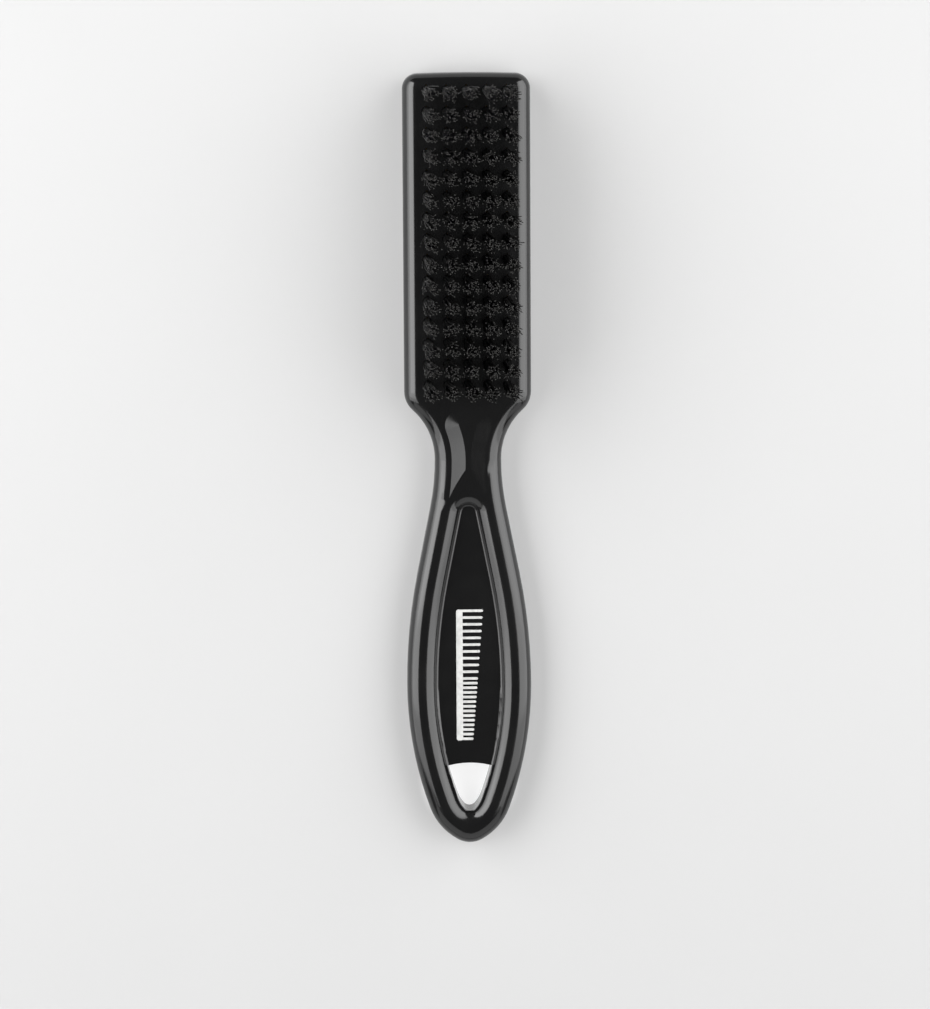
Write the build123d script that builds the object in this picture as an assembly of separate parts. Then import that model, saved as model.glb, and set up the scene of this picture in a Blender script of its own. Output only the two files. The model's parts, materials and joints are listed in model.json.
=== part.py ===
from build123d import *
import os
from math import acos, atan2, cos, degrees, radians, sin

# Fade brush: a one-piece moulded back with a ring handle, and 75 nylon tufts, each
# folded over a flat brass anchor that is punched into its own blind hole.
#
# Frame, in millimetres: the brush lies on its flat back with the bristles up.
# +Z is the bristle direction, +Y points to the head end, +X is the width, and the
# origin is the middle of the brush's box on the resting surface.

# ---------------------------------------------------------------- driving sizes
LENGTH = 180.0          # overall length, head end to handle end
BODY_HEIGHT = 8.8       # resting back face to the crest of the rim
HEAD_HALF_WIDTH = 14.7
NECK_HALF_WIDTH = 7.7
HANDLE_HALF_WIDTH = 14.5

NECK_Y = 0.7            # where the neck is narrowest
BELLY_Y = -52.3         # where the handle is widest
HEAD_CORNER_RADIUS = 3.5
HEAD_END_SAGITTA = 0.35     # the head's end bows outwards by this much

NECK_RADIUS = 15.5      # hollow of the neck, towards the head
SHOULDER_RADIUS = 5.8   # rounded shoulder of the head
FLARE_RADIUS = 58.0     # hollow of the neck, towards the handle
FLARE_ANGLE = 11.3      # slope of the straight flank of the handle, degrees
BELLY_RADIUS = 86.0     # first arc of the handle's end
END_HEADINGS = (20.0, 61.0)     # slope at the end of its first and second arc, degrees

RIM_RADIUS = 3.3        # round outer edge on the bristle side
BACK_RADIUS = 3.0       # round outer edge on the back
PANEL_INSET = 7.35      # from the outer edge to the recessed handle panel
PANEL_BLEND = 0.7       # hollow where the rim runs down into the panel
RIM_SWEEP = 60.0        # how far the rim's inner side turns before that hollow, degrees
PANEL_TOP_Y = -10.4     # neck end of the panel
PANEL_END_RADIUS = 1.4  # rounding of the panel's two narrow ends
DISH_DEPTH = 0.62       # shallow thumb dish in the neck
DISH_WIDTH = 3.2        # width of its sloping sides
DISH_TOP_Y = 9.2        # where its floor ends towards the head
DISH_END_Y = -8.5       # and towards the panel, inside the ridge
DISH_TOP_ROUND = 0.3    # corners of its floor towards the head
DISH_END_ROUND = 0.15   # and towards the panel
RIDGE_Y = -12.3         # centre of the round ridge between the dish and the panel
RIDGE_FOOT_RADIUS = 10.8    # where the ridge rises out of the dish's floor
RIDGE_CREST_RADIUS = 6.2    # and where it reaches the height of the rim

HOLE_TOP_Y = -71.5      # upper edge of the hanging hole
HOLE_TOP_SAGITTA = 0.7  # that edge bows towards the head
HOLE_MARGIN = 0.3       # the hole is this much wider all round than the panel

TUFT_ROWS = 15
TUFTS_PER_ROW = 5
FIRST_ROW_Y = 86.0      # the row at the head end
ROW_PITCH = 4.84
COLUMN_PITCH = 4.6
TUFT_HOLE_DIAMETER = 2.2
TUFT_HOLE_DEPTH = 5.5
TUFT_ROOT_DIAMETER = 2.1
TUFT_TIP_DIAMETER = 2.9
BRISTLE_LENGTH = 19.2   # free length above the head

ANCHOR_THICKNESS = 0.35     # flat wire, standing on edge across the hole
ANCHOR_LENGTH = 2.8
ANCHOR_HEIGHT = 1.6
ANCHOR_LIFT = 0.8       # from the floor of the hole to the lower edge of the anchor

MARK_THICKNESS = 0.04   # ink film
MARK_LENGTH = 31.0
MARK_CENTRE_Y = -50.0
MARK_SPINE_WIDTH = 1.5
MARK_SPINE_X = -2.25
MARK_SPINE_ROUND = 0.5
MARK_TOOTH_WIDTH = 0.6
MARK_TOOTH_LENGTHS = (4.5, 2.1)     # first and last tooth of the tapered comb
MARK_COARSE_PITCH = 1.6     # teeth of the half towards the head
MARK_FINE_PITCH = 1.1       # teeth of the half towards the hanging hole

# ---------------------------------------------------------------- derived sizes
PANEL_Z = BODY_HEIGHT - (RIM_RADIUS + PANEL_BLEND) * (1 - cos(radians(RIM_SWEEP)))
CREST_INSET = PANEL_INSET - (RIM_RADIUS + PANEL_BLEND) * sin(radians(RIM_SWEEP))
HOLE_FLOOR_Z = BODY_HEIGHT - TUFT_HOLE_DEPTH
ANCHOR_FLOOR_Z = HOLE_FLOOR_Z + ANCHOR_LIFT
HOLE_HALF_WIDTH = 5.2       # half the chord that its bowed upper edge spans
CLEAR = 1.0             # how far a cutter runs past the face that it opens
DISH_OVERRUN = 0.06     # the same for the dish, whose flat slopes soon spread wide
FAR = 200.0             # larger than the brush, for trimming blocks


# ---------------------------------------------------------------- outline
def tangent_chain(start, heading, pieces):
    """Edges that follow one another without a corner.

    Each piece is ("line", length) or ("arc", radius, turn), with the turn in degrees,
    positive to the left.
    """
    edges = []
    point, direction = Vector(*start), Vector(*heading)
    for kind, size, *turn in pieces:
        if kind == "line":
            edge = Line(point, point + direction * size)
        else:
            edge = JernArc(point, direction, size, turn[0])
        edges.append(edge)
        point, direction = edge @ 1, edge % 1
    return edges


def shoulder_pieces():
    """Neck to the head's corner: a hollow arc, a round arc and the straight side."""
    radii_sum = NECK_RADIUS + SHOULDER_RADIUS
    turn = degrees(acos(1 - (HEAD_HALF_WIDTH - NECK_HALF_WIDTH) / radii_sum))
    side = LENGTH / 2 - HEAD_END_SAGITTA - NECK_Y - radii_sum * sin(radians(turn))
    return [("arc", NECK_RADIUS, -turn), ("arc", SHOULDER_RADIUS, turn), ("line", side)]


def flare_pieces():
    """Neck to belly: a hollow arc, a straight flank and a round arc.

    The flank's length and the round arc's radius follow from the two half widths and
    the distance between them.
    """
    along, out = NECK_Y - BELLY_Y, HANDLE_HALF_WIDTH - NECK_HALF_WIDTH
    s, c = sin(radians(FLARE_ANGLE)), cos(radians(FLARE_ANGLE))
    radii_sum = (along * s - out * c) / (1 - c)
    flank = (out - radii_sum * (1 - c)) / s
    return [
        ("arc", FLARE_RADIUS, FLARE_ANGLE),
        ("line", flank),
        ("arc", radii_sum - FLARE_RADIUS, -FLARE_ANGLE),
    ]


def end_pieces():
    """Belly to tip: three round arcs, each tighter than the one before.

    The last two radii follow from the width and the length that the first arc leaves.
    """
    first, second = END_HEADINGS
    sa, ca = sin(radians(first)), cos(radians(first))
    sb, cb = sin(radians(second)), cos(radians(second))
    out = HANDLE_HALF_WIDTH - BELLY_RADIUS * (1 - ca)
    along = LENGTH / 2 + BELLY_Y - BELLY_RADIUS * sa
    scale = (ca - cb) * (1 - sb) - cb * (sb - sa)
    end_radius = (out * (1 - sb) - along * cb) / scale
    tip_radius = (along * (ca - cb) - out * (sb - sa)) / scale
    return [
        ("arc", BELLY_RADIUS, -first),
        ("arc", end_radius, first - second),
        ("arc", tip_radius, second - 90),
    ]


def body_outline():
    """Outer contour of the moulded back, as a face on the XY plane."""
    neck = (NECK_HALF_WIDTH, NECK_Y)
    up = tangent_chain(neck, (0, 1), shoulder_pieces())
    down = tangent_chain(neck, (0, -1), flare_pieces() + end_pieces())
    corner = up[-1] @ 1
    head_end = ThreePointArc(corner, (0, LENGTH / 2), (-corner.X, corner.Y))
    half = up + down
    face = make_face(half + [mirror(edge, about=Plane.YZ) for edge in half] + [head_end])
    return fillet(face.vertices().sort_by(Axis.Y)[-2:], HEAD_CORNER_RADIUS)


def band(low_y, high_y):
    """A wide face that keeps only what lies between two places along the brush."""
    return Pos(0, (low_y + high_y) / 2) * Rectangle(FAR, high_y - low_y)


def panel_outline(outline):
    """The handle's recessed panel: the body's outline, moved inwards, up to the neck."""
    inside = offset(outline, -PANEL_INSET, kind=Kind.INTERSECTION)
    panel = inside & band(-LENGTH / 2, PANEL_TOP_Y)
    tip, *_, left, right = panel.vertices().sort_by(Axis.Y)
    return fillet([tip, left, right], PANEL_END_RADIUS)


# ---------------------------------------------------------------- moulded back
def rim_wall_section():
    """Cutter section from the panel up to the rim's crest: u points out, v points up."""
    top = BODY_HEIGHT - PANEL_Z
    hollow = CenterArc((0, PANEL_BLEND), PANEL_BLEND, -90, RIM_SWEEP)
    crest_u = PANEL_INSET - CREST_INSET
    rounding = CenterArc((crest_u, top - RIM_RADIUS), RIM_RADIUS, 90, RIM_SWEEP)
    border = Polyline((crest_u, top), (crest_u, top + CLEAR), (0, top + CLEAR), (0, 0))
    return make_face([hollow, rounding, *border.edges()])


def panel_cutter(panel):
    """Everything above the panel and inside the rim's crest."""
    flank = panel.edges().filter_by(GeomType.LINE).sort_by(Axis.X)[-1]
    along = flank % 0.5
    outward = along.cross(Vector(0, 0, 1))
    if outward.X < 0:
        outward = -outward
    across = Plane(
        origin=flank @ 0.5, x_dir=outward, z_dir=outward.cross(Vector(0, 0, 1))
    )
    ring = sweep(across * rim_wall_section(), path=panel.face().outer_wire())
    middle = extrude(panel, BODY_HEIGHT - PANEL_Z + CLEAR)
    return Pos(0, 0, PANEL_Z) * (middle + ring)


def dish_cutter(outline):
    """Shallow thumb dish in the neck, with flat sloping sides and a flat head end.

    Its lower end climbs the flat cone of the ridge that goes round the panel's end.
    """
    floor = offset(outline, -CREST_INSET - DISH_WIDTH) & band(DISH_END_Y, DISH_TOP_Y)
    floor = fillet(floor.vertices().sort_by(Axis.Y)[:2], DISH_END_ROUND)
    floor = fillet(floor.vertices().sort_by(Axis.Y)[-2:], DISH_TOP_ROUND)
    height = DISH_DEPTH + DISH_OVERRUN
    dish = extrude(floor, height, taper=-degrees(atan2(DISH_WIDTH, DISH_DEPTH)))
    narrowing = (RIDGE_FOOT_RADIUS - RIDGE_CREST_RADIUS) * height / DISH_DEPTH
    bottom = (Align.CENTER, Align.CENTER, Align.MIN)
    ridge = Cone(RIDGE_FOOT_RADIUS, RIDGE_FOOT_RADIUS - narrowing, height, align=bottom)
    return Pos(0, 0, BODY_HEIGHT - DISH_DEPTH) * (dish - Pos(0, RIDGE_Y) * ridge)


def hanging_hole_cutter(panel):
    """The open end of the panel, straight through the back."""
    side, bottom = FAR / 2, -LENGTH
    apex = (0, HOLE_TOP_Y + HOLE_TOP_SAGITTA)
    foot = (HOLE_HALF_WIDTH, HOLE_TOP_Y)
    bow = ThreePointArc((-foot[0], foot[1]), apex, foot)
    border = Polyline(
        foot, (side, HOLE_TOP_Y), (side, bottom), (-side, bottom), (-side, HOLE_TOP_Y),
        (-foot[0], foot[1]),
    )
    hole = offset(panel, HOLE_MARGIN) & make_face([bow, *border.edges()])
    return Pos(0, 0, -CLEAR) * extrude(hole, BODY_HEIGHT + 2 * CLEAR)


def tuft_place(row, column):
    """Centre of one tuft hole; rows count from the head end, columns from -X."""
    x = (column - (TUFTS_PER_ROW - 1) / 2) * COLUMN_PITCH
    return (x, FIRST_ROW_Y - row * ROW_PITCH)


def anchor_plate():
    """Flat wire on edge across a hole, as a block that rises from its lower edge."""
    return Box(
        ANCHOR_THICKNESS, ANCHOR_LENGTH, ANCHOR_HEIGHT,
        align=(Align.CENTER, Align.CENTER, Align.MIN),
    )


def tuft_hole_cutter():
    """Blind hole, with the slit that the anchor cuts on its way down."""
    depth = TUFT_HOLE_DEPTH + CLEAR
    bottom = (Align.CENTER, Align.CENTER, Align.MIN)
    hole = Cylinder(TUFT_HOLE_DIAMETER / 2, depth, align=bottom)
    slit = Box(ANCHOR_THICKNESS, ANCHOR_LENGTH, depth - ANCHOR_LIFT, align=bottom)
    return hole + Pos(0, 0, ANCHOR_LIFT) * slit


def handle_body():
    """The one-piece moulded back: head, neck and ring handle."""
    outline = body_outline()
    panel = panel_outline(outline)
    body = extrude(outline, BODY_HEIGHT)
    body = fillet(body.faces().sort_by(Axis.Z)[-1].edges(), RIM_RADIUS)
    body = fillet(body.faces().sort_by(Axis.Z)[0].edges(), BACK_RADIUS)
    body -= panel_cutter(panel)
    body -= dish_cutter(outline)
    body -= hanging_hole_cutter(panel)
    hole = tuft_hole_cutter()
    places = [tuft_place(r, c) for r in range(TUFT_ROWS) for c in range(TUFTS_PER_ROW)]
    return body - [Pos(x, y, HOLE_FLOOR_Z) * hole for x, y in places]


# ---------------------------------------------------------------- tufts and anchors
def tuft():
    """One tuft from the floor of its hole: a straight root that spreads to the tips.

    The root is folded round the anchor, which leaves a slot of the anchor's size.
    """
    bottom = (Align.CENTER, Align.CENTER, Align.MIN)
    root = Cylinder(TUFT_ROOT_DIAMETER / 2, TUFT_HOLE_DEPTH, align=bottom)
    spread = Cone(
        TUFT_ROOT_DIAMETER / 2, TUFT_TIP_DIAMETER / 2, BRISTLE_LENGTH, align=bottom
    )
    whole = root + Pos(0, 0, TUFT_HOLE_DEPTH) * spread
    return whole - Pos(0, 0, ANCHOR_LIFT) * anchor_plate()


def row_of(piece, row, z):
    """The same piece at every tuft hole of one row, as separate solids."""
    places = [tuft_place(row, column) for column in range(TUFTS_PER_ROW)]
    return Compound([Pos(x, y, z) * piece for x, y in places])


# ---------------------------------------------------------------- printed mark
def printed_mark():
    """Ink film on the panel: a plain tapered comb, coarse teeth then fine ones."""
    spine = Pos(MARK_SPINE_X, MARK_CENTRE_Y) * Rectangle(MARK_SPINE_WIDTH, MARK_LENGTH)
    comb = fillet(spine.vertices(), MARK_SPINE_ROUND)
    first_y = MARK_CENTRE_Y + (MARK_LENGTH - MARK_TOOTH_WIDTH) / 2
    travel, last = 0.0, MARK_LENGTH - MARK_TOOTH_WIDTH
    long_tooth, short_tooth = MARK_TOOTH_LENGTHS
    while travel <= last:
        length = long_tooth + (short_tooth - long_tooth) * travel / last
        reach = MARK_SPINE_WIDTH / 2 + length
        tooth = Rectangle(reach, MARK_TOOTH_WIDTH, align=(Align.MIN, Align.CENTER))
        end = Pos(reach, 0) * Circle(MARK_TOOTH_WIDTH / 2)
        comb += Pos(MARK_SPINE_X, first_y - travel) * (tooth + end)
        travel += MARK_COARSE_PITCH if travel < last / 2 else MARK_FINE_PITCH
    return Pos(0, 0, PANEL_Z) * extrude(comb, MARK_THICKNESS)


# ---------------------------------------------------------------- nodes
def build_nodes():
    """Every separate piece of the brush, by name."""
    nodes = {"handle_body": handle_body(), "printed_mark": printed_mark()}
    one_tuft, one_anchor = tuft(), anchor_plate()
    for row in range(TUFT_ROWS):
        nodes[f"tuft_row_{row + 1:02d}"] = row_of(one_tuft, row, HOLE_FLOOR_Z)
        nodes[f"anchor_row_{row + 1:02d}"] = row_of(one_anchor, row, ANCHOR_FLOOR_Z)
    return nodes


os.makedirs("parts", exist_ok=True)
for name, shape in build_nodes().items():
    export_step(shape, f"parts/{name}.step")
    print(f"{name}: {len(shape.solids())} solids, {shape.volume:.1f} mm3")
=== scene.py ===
# %% [markdown]
# # A barber's fade brush
#
# The brush is one glossy black moulding with 75 tufts of black nylon, held in the head by small brass
# anchors. It lies on its back on a pale studio table with the bristles up. Everything is in metres, in
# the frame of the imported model: +Z is the bristle direction, +Y points to the head end and +X is across.
#
# The moulding, the anchors and the printed comb keep their exact CAD shapes and only get finishes. The
# tufts are plain cones in the CAD model, so each row is built again here from single filaments.

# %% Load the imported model
import json
import math
import random

import bpy
from mathutils import Matrix, Vector

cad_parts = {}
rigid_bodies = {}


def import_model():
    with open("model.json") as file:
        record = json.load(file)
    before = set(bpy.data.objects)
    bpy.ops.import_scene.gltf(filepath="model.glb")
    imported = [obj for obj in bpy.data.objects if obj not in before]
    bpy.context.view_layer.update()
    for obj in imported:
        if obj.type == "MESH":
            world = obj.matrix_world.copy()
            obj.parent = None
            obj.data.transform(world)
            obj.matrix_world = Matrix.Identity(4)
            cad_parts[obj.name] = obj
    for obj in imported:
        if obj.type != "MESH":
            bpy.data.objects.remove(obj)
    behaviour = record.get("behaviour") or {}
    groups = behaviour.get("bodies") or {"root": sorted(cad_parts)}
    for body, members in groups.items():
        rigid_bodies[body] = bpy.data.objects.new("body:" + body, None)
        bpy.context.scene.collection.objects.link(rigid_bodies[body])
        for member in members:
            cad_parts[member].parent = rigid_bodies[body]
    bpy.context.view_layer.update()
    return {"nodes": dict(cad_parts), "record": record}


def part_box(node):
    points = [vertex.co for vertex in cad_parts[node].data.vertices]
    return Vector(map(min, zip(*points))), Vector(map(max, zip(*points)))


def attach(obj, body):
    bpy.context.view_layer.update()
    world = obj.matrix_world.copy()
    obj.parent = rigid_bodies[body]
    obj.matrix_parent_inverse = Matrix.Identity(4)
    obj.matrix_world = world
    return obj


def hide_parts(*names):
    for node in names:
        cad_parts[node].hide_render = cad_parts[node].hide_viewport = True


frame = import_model()
MM = 0.001

# %% [markdown]
# ## Camera
#
# The view is a long lens looking almost straight down, with the head end a little nearer. A long lens
# keeps the outline nearly free of perspective, so the head and the handle keep their true widths.
# A camera can be aimed with a Track To constraint, but straight down is the one direction where that
# leaves its roll unclear. Here its three axes are worked out from the direction that it stands in.

# %% Camera
LENS_MM = 153.4
SENSOR_MM = 36.0
CAMERA_DISTANCE = 1.0
HEAD_TILT = math.radians(8.0)
SIDE_TILT = math.radians(1.1)
ROLL = math.radians(0.32)
AIM = Vector((-0.73, -10.16, 4.3)) * MM


def add_camera():
    data = bpy.data.cameras.new("camera")
    data.lens = LENS_MM
    data.sensor_width = SENSOR_MM
    camera = bpy.data.objects.new("camera", data)
    bpy.context.scene.collection.objects.link(camera)
    toward = Vector((-math.tan(SIDE_TILT), math.tan(HEAD_TILT), 1.0)).normalized()
    right = Vector((0.0, 1.0, 0.0)).cross(toward).normalized()
    axes = Matrix((right, toward.cross(right), toward)).transposed()
    turn = axes @ Matrix.Rotation(-ROLL, 3, "Z")
    camera.matrix_world = Matrix.Translation(AIM + toward * CAMERA_DISTANCE) @ turn.to_4x4()
    return camera


bpy.context.scene.camera = add_camera()
bpy.context.scene.view_settings.view_transform = "Standard"
print("camera at, m:", [round(value, 3) for value in bpy.context.scene.camera.location])

# %% [markdown]
# ## Soft boxes
#
# A glossy black object shows little of its own colour: what we see is the reflection of the lights.
# Two long soft boxes stand left and right, so every round edge carries one long clean highlight, and
# the gap between them overhead keeps the flat faces deep black. The left box starts a little further
# from the vertical than the right one, so of the two slopes of the thumb dish only one is lit.
#
# A real box is brightest in its middle and fades towards its near end, by the handle. A textured panel
# could give that, but it makes a noisy picture. Here each box is three flat panels, one in front of the
# other, and each is narrower and shorter than the last.
# The boxes are hidden from the camera, so a low view shows only the plain background.

# %% Soft boxes
BOX_REACH = 0.75
BOX_STEP = 0.02
BOX_FAR_END = 0.80
BOX_NEAR_ENDS = (-0.36, -0.22, -0.08)
SOFT_BOXES = {
    "softbox_left": (-1, ((26.0, 87.0, 2.9), (27.5, 76.0, 2.0), (31.0, 64.0, 2.2))),
    "softbox_right": (1, ((19.5, 96.0, 2.6), (22.5, 86.0, 1.4), (33.0, 72.0, 1.0))),
}


def add_panel(name, centre, across, along, radiance):
    """A flat area light that faces the brush; across and along are its two sides, as vectors."""
    light = bpy.data.lights.new(name, "AREA")
    light.shape = "RECTANGLE"
    light.size = across.length
    light.size_y = along.length
    light.energy = radiance * math.pi * light.size * light.size_y
    back = across.cross(along).normalized()
    if back.dot(centre) < 0.0:
        back = -back
    side = across.normalized()
    turn = Matrix((side, back.cross(side), back)).transposed()
    piece = bpy.data.objects.new(name, light)
    bpy.context.scene.collection.objects.link(piece)
    piece.matrix_world = Matrix.Translation(centre) @ turn.to_4x4()
    piece.visible_camera = False
    return piece


for name, (side, tiers) in SOFT_BOXES.items():
    for number, (inner, outer, radiance) in enumerate(tiers):
        reach = BOX_REACH - BOX_STEP * number
        edges = [
            Vector((side * math.sin(math.radians(angle)), 0.0, math.cos(math.radians(angle)))) * reach
            for angle in (inner, outer)
        ]
        middle = (edges[0] + edges[1]) / 2
        middle.y = (BOX_FAR_END + BOX_NEAR_ENDS[number]) / 2
        along = Vector((0.0, BOX_FAR_END - BOX_NEAR_ENDS[number], 0.0))
        panel = add_panel(f"{name}_{number}", middle, edges[1] - edges[0], along, radiance)
        print(panel.name, "width, m:", round(panel.data.size, 3))

# %% [markdown]
# A third, much dimmer panel stands beyond the handle's end. It gives the shoulders of the head, the
# ridge above the handle's recess and the round end of the handle their soft grey, where the two boxes
# don't reach.

# %% End panel
END_PANEL_ANGLES = (40.0, 84.0)
END_PANEL_WIDTH = 1.5
END_PANEL_RADIANCE = 1.0

edges = [
    Vector((0.0, -math.sin(math.radians(angle)), math.cos(math.radians(angle)))) * BOX_REACH
    for angle in END_PANEL_ANGLES
]
panel = add_panel("end_panel", (edges[0] + edges[1]) / 2, Vector((END_PANEL_WIDTH, 0.0, 0.0)),
                  edges[1] - edges[0], END_PANEL_RADIANCE)
print(panel.name, "height, m:", round(panel.data.size_y, 3))

# %% [markdown]
# ## Shader maths
#
# A finish is worked out as an expression, such as `1 - mask`. One small class wraps a socket: maths on
# two wires, or on a wire and a number, adds a Math node, and every other node comes from `node`, which
# sets the node's settings first and the values or links of its sockets after that.

# %% The Wire class
class Wire:
    """One socket of a node tree, with Python's operators."""

    def __init__(self, tree, socket=None):
        self.tree = tree
        self.socket = socket

    def node(self, kind, settings=None, inputs=None, output=0):
        added = self.tree.nodes.new(kind)
        for name, value in (settings or {}).items():
            setattr(added, name, value)
        for name, value in (inputs or {}).items():
            if isinstance(value, Wire):
                self.tree.links.new(value.socket, added.inputs[name])
            else:
                added.inputs[name].default_value = value
        return Wire(self.tree, added.outputs[output])

    def maths(self, operation, first, second):
        return self.node("ShaderNodeMath", {"operation": operation}, {0: first, 1: second})

    def __add__(self, other):
        return self.maths("ADD", self, other)

    def __sub__(self, other):
        return self.maths("SUBTRACT", self, other)

    def __mul__(self, other):
        return self.maths("MULTIPLY", self, other)

    def __radd__(self, other):
        return self.maths("ADD", other, self)

    def __rsub__(self, other):
        return self.maths("SUBTRACT", other, self)

    def __rmul__(self, other):
        return self.maths("MULTIPLY", other, self)

    def __abs__(self):
        return self.node("ShaderNodeMath", {"operation": "ABSOLUTE"}, {0: self})

    def part(self, axis):
        """One part of a vector: "X", "Y" or "Z"."""
        return self.node("ShaderNodeSeparateXYZ", None, {0: self}, output=axis)

    def scaled(self, factors):
        """A vector stretched along its axes."""
        return self.node("ShaderNodeVectorMath", {"operation": "MULTIPLY"}, {0: self, 1: factors})

    def distance(self, point):
        """How far a place is from a point, in metres."""
        settings = {"operation": "DISTANCE"}
        return self.node("ShaderNodeVectorMath", settings, {0: self, 1: point}, output="Value")

    def noise(self, size, detail=2.0):
        """Soft noise from 0 to 1 whose lumps are about `size` metres across."""
        inputs = {"Vector": self, "Scale": 1.0 / size, "Detail": detail}
        return self.node("ShaderNodeTexNoise", None, inputs)

    def step(self, low, high):
        """0 below low, 1 above high, and smooth between them."""
        inputs = {"Value": self, "From Min": low, "From Max": high}
        return self.node("ShaderNodeMapRange", {"interpolation_type": "SMOOTHSTEP"}, inputs)

    def blend(self, first, second):
        """The first colour where this mask is 0 and the second where it is 1."""
        return self.node("ShaderNodeMix", {"data_type": "RGBA"}, {0: self, 6: first, 7: second}, output=2)

    def bump(self, height):
        """This pattern as a relief, `height` metres from its 0 to its 1."""
        return self.node("ShaderNodeBump", None, {"Height": self, "Strength": 1.0, "Distance": height})


def grey(value):
    return (value, value, value, 1.0)


def new_finish(name):
    """An empty material, and the place on the object, in metres, that its patterns start from."""
    material = bpy.data.materials.new(name)
    material.use_nodes = True
    place = Wire(material.node_tree).node("ShaderNodeTexCoord", output="Object")
    return material, place


def set_shader(material, inputs):
    """Values go straight on the shader's sockets and wires are linked to them."""
    shader = material.node_tree.nodes["Principled BSDF"]
    for name, value in inputs.items():
        if isinstance(value, Wire):
            material.node_tree.links.new(value.socket, shader.inputs[name])
        else:
            shader.inputs[name].default_value = value
    print(material.name, "has", len(material.node_tree.nodes), "nodes")


# %% [markdown]
# ## Sky
#
# The flat faces of the brush mirror whatever is overhead, so the sky is almost black there. At the
# horizon it is pale, because that is where a low view looks. A gradient by the height of the direction
# does both, and it is the same from every side.

# %% Sky
SKY_HORIZON = 0.65
SKY_OVERHEAD = 0.07
SKY_FADE = (0.02, 0.12)

sky = bpy.data.worlds.new("studio_sky")
bpy.context.scene.world = sky
sky.use_nodes = True
climb = Wire(sky.node_tree).node("ShaderNodeTexCoord").part("Z")
sky_colour = climb.step(*SKY_FADE).blend(grey(SKY_HORIZON), grey(SKY_OVERHEAD))
sky.node_tree.links.new(sky_colour.socket, sky.node_tree.nodes["Background"].inputs["Color"])
print("sky has", len(sky.node_tree.nodes), "nodes")

# %% [markdown]
# ## Table
#
# A studio often has a lit acrylic table: light comes through it as well as onto it, so it stays pale
# next to a dark object. A slight, even glow in the floor's material does the same here, on top of the
# light that it scatters. Under the hanging hole, where the brush's shadow falls, the glow is stronger:
# that is a painted pool of light, with no lamp below, so the floor seen through the hole stays pale.

# %% Table
TABLE_REACH = 3.0
TABLE_CLOUD_SIZE = 50.0 * MM
TABLE_GREYS = (0.26, 0.27)
TABLE_GLOW = 0.20
# The glow of a painted pool of light on the floor under the hanging hole, where the brush's shadow falls.
HOLE_PAINTED_LIGHT_GLOW = 0.80
HOLE_PAINTED_LIGHT_RADII = (7.0 * MM, 12.5 * MM)
HOLE_MOUNT = next(mount for mount in frame["record"]["mounts"] if mount["name"] == "hanging_hole")
HOLE_PAINTED_LIGHT_PLACE = (HOLE_MOUNT["pos_m"][0], HOLE_MOUNT["pos_m"][1], 0.0)


def acrylic_glow_and_painted_pool():
    material, place = new_finish("acrylic_glow_and_painted_pool")
    clouds = place.noise(TABLE_CLOUD_SIZE, 3.0)
    # Painted pool of light: a round spot of stronger glow under the hanging hole, where the shadow falls.
    painted_light_pool = 1 - place.distance(HOLE_PAINTED_LIGHT_PLACE).step(*HOLE_PAINTED_LIGHT_RADII)
    set_shader(material, {
        "Base Color": clouds.blend(*[grey(value) for value in TABLE_GREYS]),
        "Roughness": clouds * 0.1 + 0.6,
        "Emission Color": painted_light_pool.blend(grey(TABLE_GLOW), grey(HOLE_PAINTED_LIGHT_GLOW)),
        "Emission Strength": 1.0,
    })
    return material


def add_table():
    mesh = bpy.data.meshes.new("table")
    reach = TABLE_REACH
    corners = [(-reach, -reach, 0.0), (reach, -reach, 0.0), (reach, reach, 0.0), (-reach, reach, 0.0)]
    mesh.from_pydata(corners, [], [(0, 1, 2, 3)])
    mesh.materials.append(acrylic_glow_and_painted_pool())
    table = bpy.data.objects.new("table", mesh)
    bpy.context.scene.collection.objects.link(table)
    return table


print("table at height", add_table().location.z)

# %% [markdown]
# ## The moulding: glossy black plastic
#
# The back, neck and ring handle are one injection moulding from a polished tool. Close up, such a
# surface isn't a perfect mirror. It has a faint waviness from the plastic shrinking as it cools, a thin
# parting line where the two halves of the tool met, and round marks on the back from the gate and the
# ejector pins. In use the crest of the rim collects fine lengthwise hairlines, which blur it slightly.
#
# All of these are far too small to model, so they are relief and roughness in the material. Each mask
# is a function of the place on the brush, in metres, so it needs no texture coordinates.

# %% Moulding marks
PARTING_HEIGHT = 3.7 * MM
PARTING_HALF_WIDTH = 0.09 * MM
GATE = (0.0, 0.0100, 0.0)
GATE_RADIUS = 1.3 * MM
EJECTOR_RADIUS = 2.4 * MM
EJECTORS = ((0.0, 0.0790, 0.0), (0.0, 0.0480, 0.0), (0.0, -0.0400, 0.0))
MARK_EDGE = 0.12 * MM


def parting_line(place):
    """1 on the line round the outside and the hanging hole, fading to 0 beside it."""
    return 1 - abs(place.part("Z") - PARTING_HEIGHT).step(0.0, PARTING_HALF_WIDTH)


def pin_marks(place):
    """1 inside the gate's and the ejector pins' round marks, which are on the back only."""
    marks = 1 - place.distance(GATE).step(GATE_RADIUS - MARK_EDGE, GATE_RADIUS)
    for pin in EJECTORS:
        marks = marks + (1 - place.distance(pin).step(EJECTOR_RADIUS - MARK_EDGE, EJECTOR_RADIUS))
    return marks


# %% Glossy black plastic
CREST_HEIGHTS = (8.0 * MM, 8.8 * MM)
SMEAR_SIZE = 12.0 * MM
WAVE_SIZE = 3.5 * MM
HAIRLINE_SIZE = 0.22 * MM
HAIRLINE_STRETCH = (1.0, 0.03, 1.0)
MARK_RELIEF = 20e-6


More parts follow.
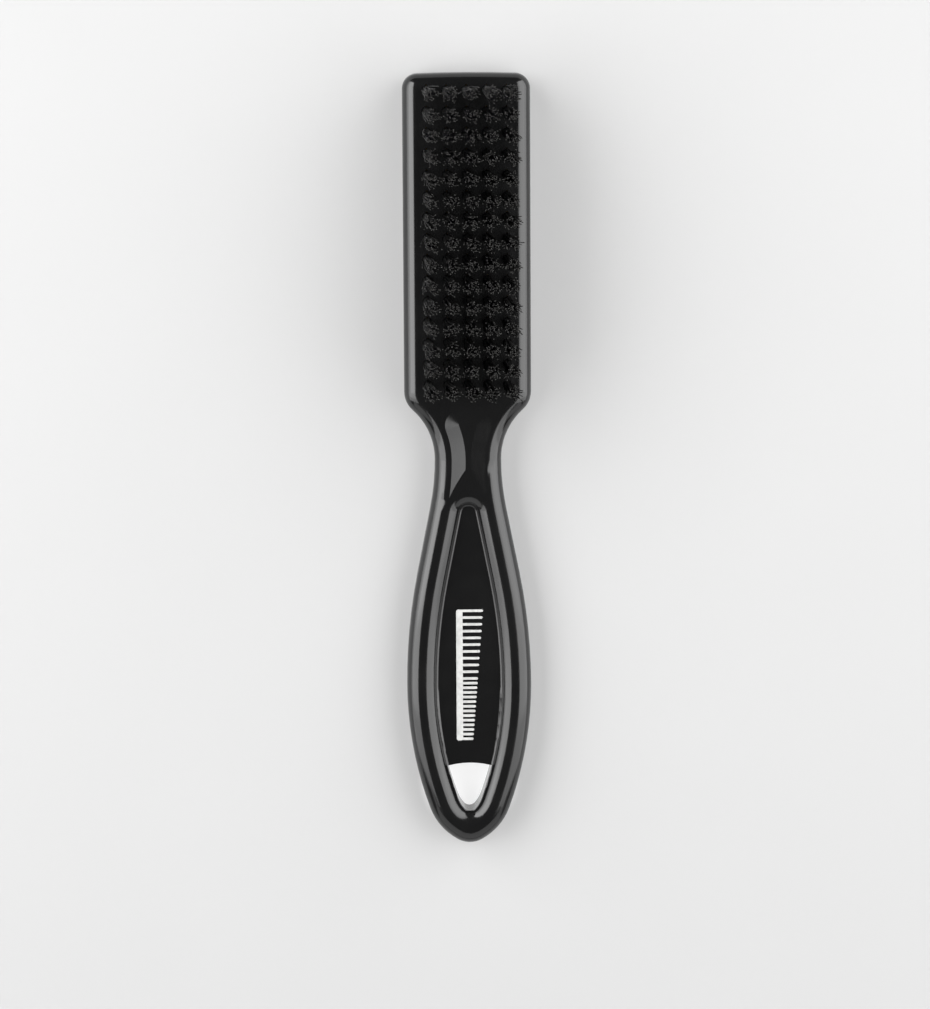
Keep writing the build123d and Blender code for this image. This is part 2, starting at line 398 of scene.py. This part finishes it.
def moulded_gloss_black():
    material, place = new_finish("moulded_gloss_black")
    smears = place.noise(SMEAR_SIZE, 3.0).step(0.38, 0.70)
    waviness = place.noise(WAVE_SIZE, 1.0)
    hairlines = place.scaled(HAIRLINE_STRETCH).noise(HAIRLINE_SIZE, 2.0).step(0.60, 0.78)
    worn = place.part("Z").step(*CREST_HEIGHTS) * hairlines
    relief = waviness * 0.12 + worn * 0.03 + parting_line(place) + pin_marks(place) * 2.0
    set_shader(material, {
        "Base Color": (smears * 0.5 + worn * 0.5).blend((0.0040, 0.0040, 0.0041, 1.0), grey(0.0060)),
        "Roughness": smears * 0.03 + worn * 0.05 + 0.12,
        "IOR": 1.5,
        "Normal": relief.bump(MARK_RELIEF),
    })
    return material


bpy.data.objects["handle_body"].material_slots[0].material = moulded_gloss_black()

# %% [markdown]
# ## The printed comb: white ink
#
# The mark in the handle's recess is pad-printed: a soft pad lays down a film of thick white ink. The
# film is a little uneven where the pad lifted off and duller than the plastic. A thin solid from the
# CAD model gives it its edge, and the material adds the mottle and the grain of the pigment.

# %% White ink
MOTTLE_SIZE = 0.9 * MM
PIGMENT_SIZE = 0.12 * MM
INK_RELIEF = 6e-6
INK_THIN = (0.30, 0.30, 0.295, 1.0)
INK_THICK = (0.42, 0.42, 0.41, 1.0)


def pad_printed_white():
    material, place = new_finish("pad_printed_white")
    mottle = place.noise(MOTTLE_SIZE, 3.0).step(0.3, 0.7)
    grain = place.noise(PIGMENT_SIZE, 2.0)
    set_shader(material, {
        "Base Color": (mottle * 0.7 + grain * 0.3).blend(INK_THIN, INK_THICK),
        "Roughness": mottle * 0.10 + 0.42,
        "Normal": (grain + mottle * 0.5).bump(INK_RELIEF),
    })
    return material


bpy.data.objects["printed_mark"].material_slots[0].material = pad_printed_white()

# %% [markdown]
# ## The anchors: brass wire
#
# Each tuft is folded over a short piece of flat brass wire that is punched edge-on into its hole. Drawn
# wire has fine streaks along its length and dulls to brown in patches. Almost nothing of it shows
# between the filaments, but the pieces are in the model, so they get their finish too.

# %% Brass wire
DRAW_LINE_SIZE = 0.05 * MM
DRAW_LINE_STRETCH = (1.0, 0.05, 1.0)
TARNISH_SIZE = 0.8 * MM
BRASS_RELIEF = 2e-6
BRASS_BRIGHT = (0.36, 0.27, 0.13, 1.0)
BRASS_DULL = (0.16, 0.11, 0.05, 1.0)


def drawn_brass():
    material, place = new_finish("drawn_brass")
    streaks = place.scaled(DRAW_LINE_STRETCH).noise(DRAW_LINE_SIZE, 3.0)
    tarnish = place.noise(TARNISH_SIZE, 3.0).step(0.45, 0.70)
    set_shader(material, {
        "Base Color": tarnish.blend(BRASS_BRIGHT, BRASS_DULL),
        "Metallic": 1.0,
        "Roughness": streaks * 0.15 + tarnish * 0.20 + 0.25,
        "Normal": streaks.bump(BRASS_RELIEF),
    })
    return material


BRASS = drawn_brass()
anchor_rows = [node for node in frame["nodes"] if node.startswith("anchor_row_")]
for node in anchor_rows:
    bpy.data.objects[node].material_slots[0].material = BRASS
print("anchor rows:", len(anchor_rows))

# %% [markdown]
# ## The bristles: black nylon
#
# The filaments are 0.2 mm nylon, cut off flat by a trimming wheel. Their sides are smooth and black. The
# cut ends are torn and slightly swollen, so they are a little paler. Their colour is also painted much
# lighter than the sides, as a painted glint where the tips catch the light, and that is what makes a tuft
# look speckled from above. Two values are stored on the mesh for this: `strand` differs from one
# filament to the next, and `cut_end` is 1 at the tip only.

# %% Black nylon
FIBRE_LINE_SIZE = 0.1 * MM
FIBRE_LINE_STRETCH = (1.0, 1.0, 0.08)
NYLON_RELIEF = 4e-6
SHAFT_COLOURS = ((0.0032, 0.0031, 0.0031, 1.0), (0.0070, 0.0068, 0.0066, 1.0))
# Tip colours: a little paler for the torn cut, and much lighter as a painted glint where the tips catch
# the light.
PALE_TIP_AND_PAINTED_GLINT_COLOURS = ((0.008, 0.0077, 0.0074, 1.0), (0.044, 0.043, 0.041, 1.0))


def black_nylon():
    material, place = new_finish("black_nylon")
    strand = place.node("ShaderNodeAttribute", {"attribute_name": "strand"}, output="Fac")
    cut_end = place.node("ShaderNodeAttribute", {"attribute_name": "cut_end"}, output="Fac")
    streaks = place.scaled(FIBRE_LINE_STRETCH).noise(FIBRE_LINE_SIZE, 2.0)
    shaft = strand.blend(*SHAFT_COLOURS)
    # The tips take the paler colour: partly the torn cut, partly a painted glint.
    pale_tip_and_painted_glint = (strand * 0.8 + streaks * 0.2).blend(*PALE_TIP_AND_PAINTED_GLINT_COLOURS)
    set_shader(material, {
        "Base Color": cut_end.blend(shaft, pale_tip_and_painted_glint),
        "Roughness": strand * 0.12 + cut_end * 0.20 + 0.38,
        "IOR": 1.53,
        "Specular IOR Level": 0.2,
        "Normal": streaks.bump(NYLON_RELIEF),
    })
    return material


NYLON = black_nylon()

# %% [markdown]
# ## How one tuft grows
#
# Blender's hair system could grow the bristles, but hair is not a mesh and would be lost from the model.
# Each filament is a thin five-sided tube instead. It leaves the hole inside the tuft's tight round root
# and spreads to about twice that width at the tip. Some filaments stick together in small clumps, which
# leaves dark gaps, some bow, and some are bent over near the end by use. The whole field also leans a
# little to one side, as it does on a brush that has lain in its packing.

# %% Paths of the filaments
FILAMENTS = 62
ROOT_RADIUS = 0.95 * MM
SPREAD_ACROSS = (1.5, 2.6)
SPREAD_ALONG = (1.25, 2.1)
SPREAD_POWER = 1.35
LEAN = Vector((0.9, 0.0, 0.0)) * MM
LEAN_VARIATION = (0.8, 1.2)
TIP_SCATTER = 0.22
CLUMPS = 6
CLUMP_SCATTER = 1.1
CLUMP_PULL = (0.1, 0.5)
BOW = 0.18
BENT_SHARE = 0.40
BENT_REACH = (0.3, 0.9)
BENT_POWER = 7
BENT_DROP = 0.3
TRIM_SCATTER = 0.30
GOLDEN_ANGLE = math.pi * (3.0 - math.sqrt(5.0))
STATIONS = (0.0, 0.3, 0.6, 0.84, 0.965, 1.0)
HEAD_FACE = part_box("handle_body")[1][2]


def scatter(rng, size):
    return Vector((rng.gauss(0.0, size), rng.gauss(0.0, size), 0.0)) * MM


def filament_path(index, root_turn, clumps, floor, top, rng):
    """Points from the floor of the hole to the tip, measured from the centre of the tuft."""
    reach = ROOT_RADIUS * math.sqrt((index + 0.5) / FILAMENTS)
    angle = root_turn + index * GOLDEN_ANGLE
    root = Vector((math.cos(angle), math.sin(angle), 0.0)) * reach
    spread = Vector((root.x * rng.uniform(*SPREAD_ACROSS), root.y * rng.uniform(*SPREAD_ALONG), 0.0))
    spread += scatter(rng, TIP_SCATTER)
    clump = min(clumps, key=lambda spot: (spot - spread).length)
    tip = spread.lerp(clump, rng.uniform(*CLUMP_PULL)) + LEAN * rng.uniform(*LEAN_VARIATION)
    bow = scatter(rng, BOW)
    bend = Vector((0.0, 0.0, 0.0))
    if rng.random() < BENT_SHARE:
        way = rng.uniform(0.0, 2.0 * math.pi)
        bend = Vector((math.cos(way), math.sin(way), 0.0)) * rng.uniform(*BENT_REACH) * MM
    end = top - abs(rng.gauss(0.0, TRIM_SCATTER)) * MM - bend.length * BENT_DROP
    points = [root + Vector((0.0, 0.0, floor))]
    for share in STATIONS:
        flat = root.lerp(tip, share ** SPREAD_POWER) + bow * math.sin(math.pi * share)
        flat += bend * share ** BENT_POWER
        points.append(flat + Vector((0.0, 0.0, HEAD_FACE + (end - HEAD_FACE) * share)))
    return points


def tuft_paths(centre, floor, top, rng):
    root_turn = rng.uniform(0.0, 2.0 * math.pi)
    clumps = [scatter(rng, CLUMP_SCATTER) for _ in range(CLUMPS)]
    return [
        [centre + point for point in filament_path(index, root_turn, clumps, floor, top, rng)]
        for index in range(FILAMENTS)
    ]


# %% [markdown]
# ## One row of tufts
#
# A row becomes one mesh, which keeps the pieces as few as the CAD rows that they replace. The tube's
# rings are laid down one after another, with a cap at each end. Its sides are shaded smooth, while the
# caps stay flat, so that a cut end catches the light on its own.

# %% Tubes and rows
FILAMENT_RADIUS = 0.1 * MM
SIDES = 5
COLUMNS = 5


class RowMesh:
    """The growing lists of one row's mesh."""

    def __init__(self):
        self.corners = []
        self.faces = []
        self.strand = []
        self.cut_end = []

    def add_tube(self, points, strand):
        first = len(self.corners)
        last_ring = len(points) - 1
        for ring, point in enumerate(points):
            before, after = points[max(ring - 1, 0)], points[min(ring + 1, last_ring)]
            along = (after - before).normalized()
            side = along.cross(Vector((0.0, 1.0, 0.0))).normalized()
            other = along.cross(side)
            for corner in range(SIDES):
                turn = 2.0 * math.pi * corner / SIDES
                offset = side * math.cos(turn) + other * math.sin(turn)
                self.corners.append(point + offset * FILAMENT_RADIUS)
            self.strand += [strand] * SIDES
            self.cut_end += [1.0 if ring == last_ring else 0.0] * SIDES
        for ring in range(last_ring):
            for corner in range(SIDES):
                low = first + ring * SIDES + corner
                low_next = first + ring * SIDES + (corner + 1) % SIDES
                self.faces.append((low, low + SIDES, low_next + SIDES, low_next))
        tip = first + last_ring * SIDES
        self.faces.append(tuple(tip + corner for corner in reversed(range(SIDES))))
        self.faces.append(tuple(first + corner for corner in range(SIDES)))

    def finished(self, name):
        mesh = bpy.data.meshes.new(name)
        mesh.from_pydata(self.corners, [], self.faces)
        mesh.attributes.new("strand", "FLOAT", "POINT").data.foreach_set("value", self.strand)
        mesh.attributes.new("cut_end", "FLOAT", "POINT").data.foreach_set("value", self.cut_end)
        for face in mesh.polygons:
            face.use_smooth = len(face.vertices) == 4
        return mesh


# %% [markdown]
# Every row is seeded with its own number, so the brush comes out the same each time. The centres and
# heights come from the box of the CAD row: its half depth is the radius of a tuft's tip, and the two
# outer tufts touch its sides.

# %% Build the rows
FIRST_SEED = 700
FLOOR_CLEARANCE = 0.2 * MM


def bristle_row(node, number):
    low, high = (Vector(corner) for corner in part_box(node))
    tip_radius = (high.y - low.y) / 2
    middle = COLUMNS // 2
    pitch = (high.x - tip_radius) / middle
    rng = random.Random(FIRST_SEED + number)
    row = RowMesh()
    for column in range(COLUMNS):
        centre = Vector(((column - middle) * pitch, (low.y + high.y) / 2, 0.0))
        for path in tuft_paths(centre, low.z + FLOOR_CLEARANCE, high.z, rng):
            row.add_tube(path, rng.random())
    mesh = row.finished(f"bristles_{number:02d}")
    mesh.materials.append(NYLON)
    piece = bpy.data.objects.new(mesh.name, mesh)
    bpy.context.scene.collection.objects.link(piece)
    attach(piece, "root")
    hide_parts(node)
    return piece


tuft_rows = sorted(node for node in frame["nodes"] if node.startswith("tuft_row_"))
bristles = [bristle_row(node, number + 1) for number, node in enumerate(tuft_rows)]
print("rows:", len(bristles), "faces in a row:", len(bristles[0].data.polygons))
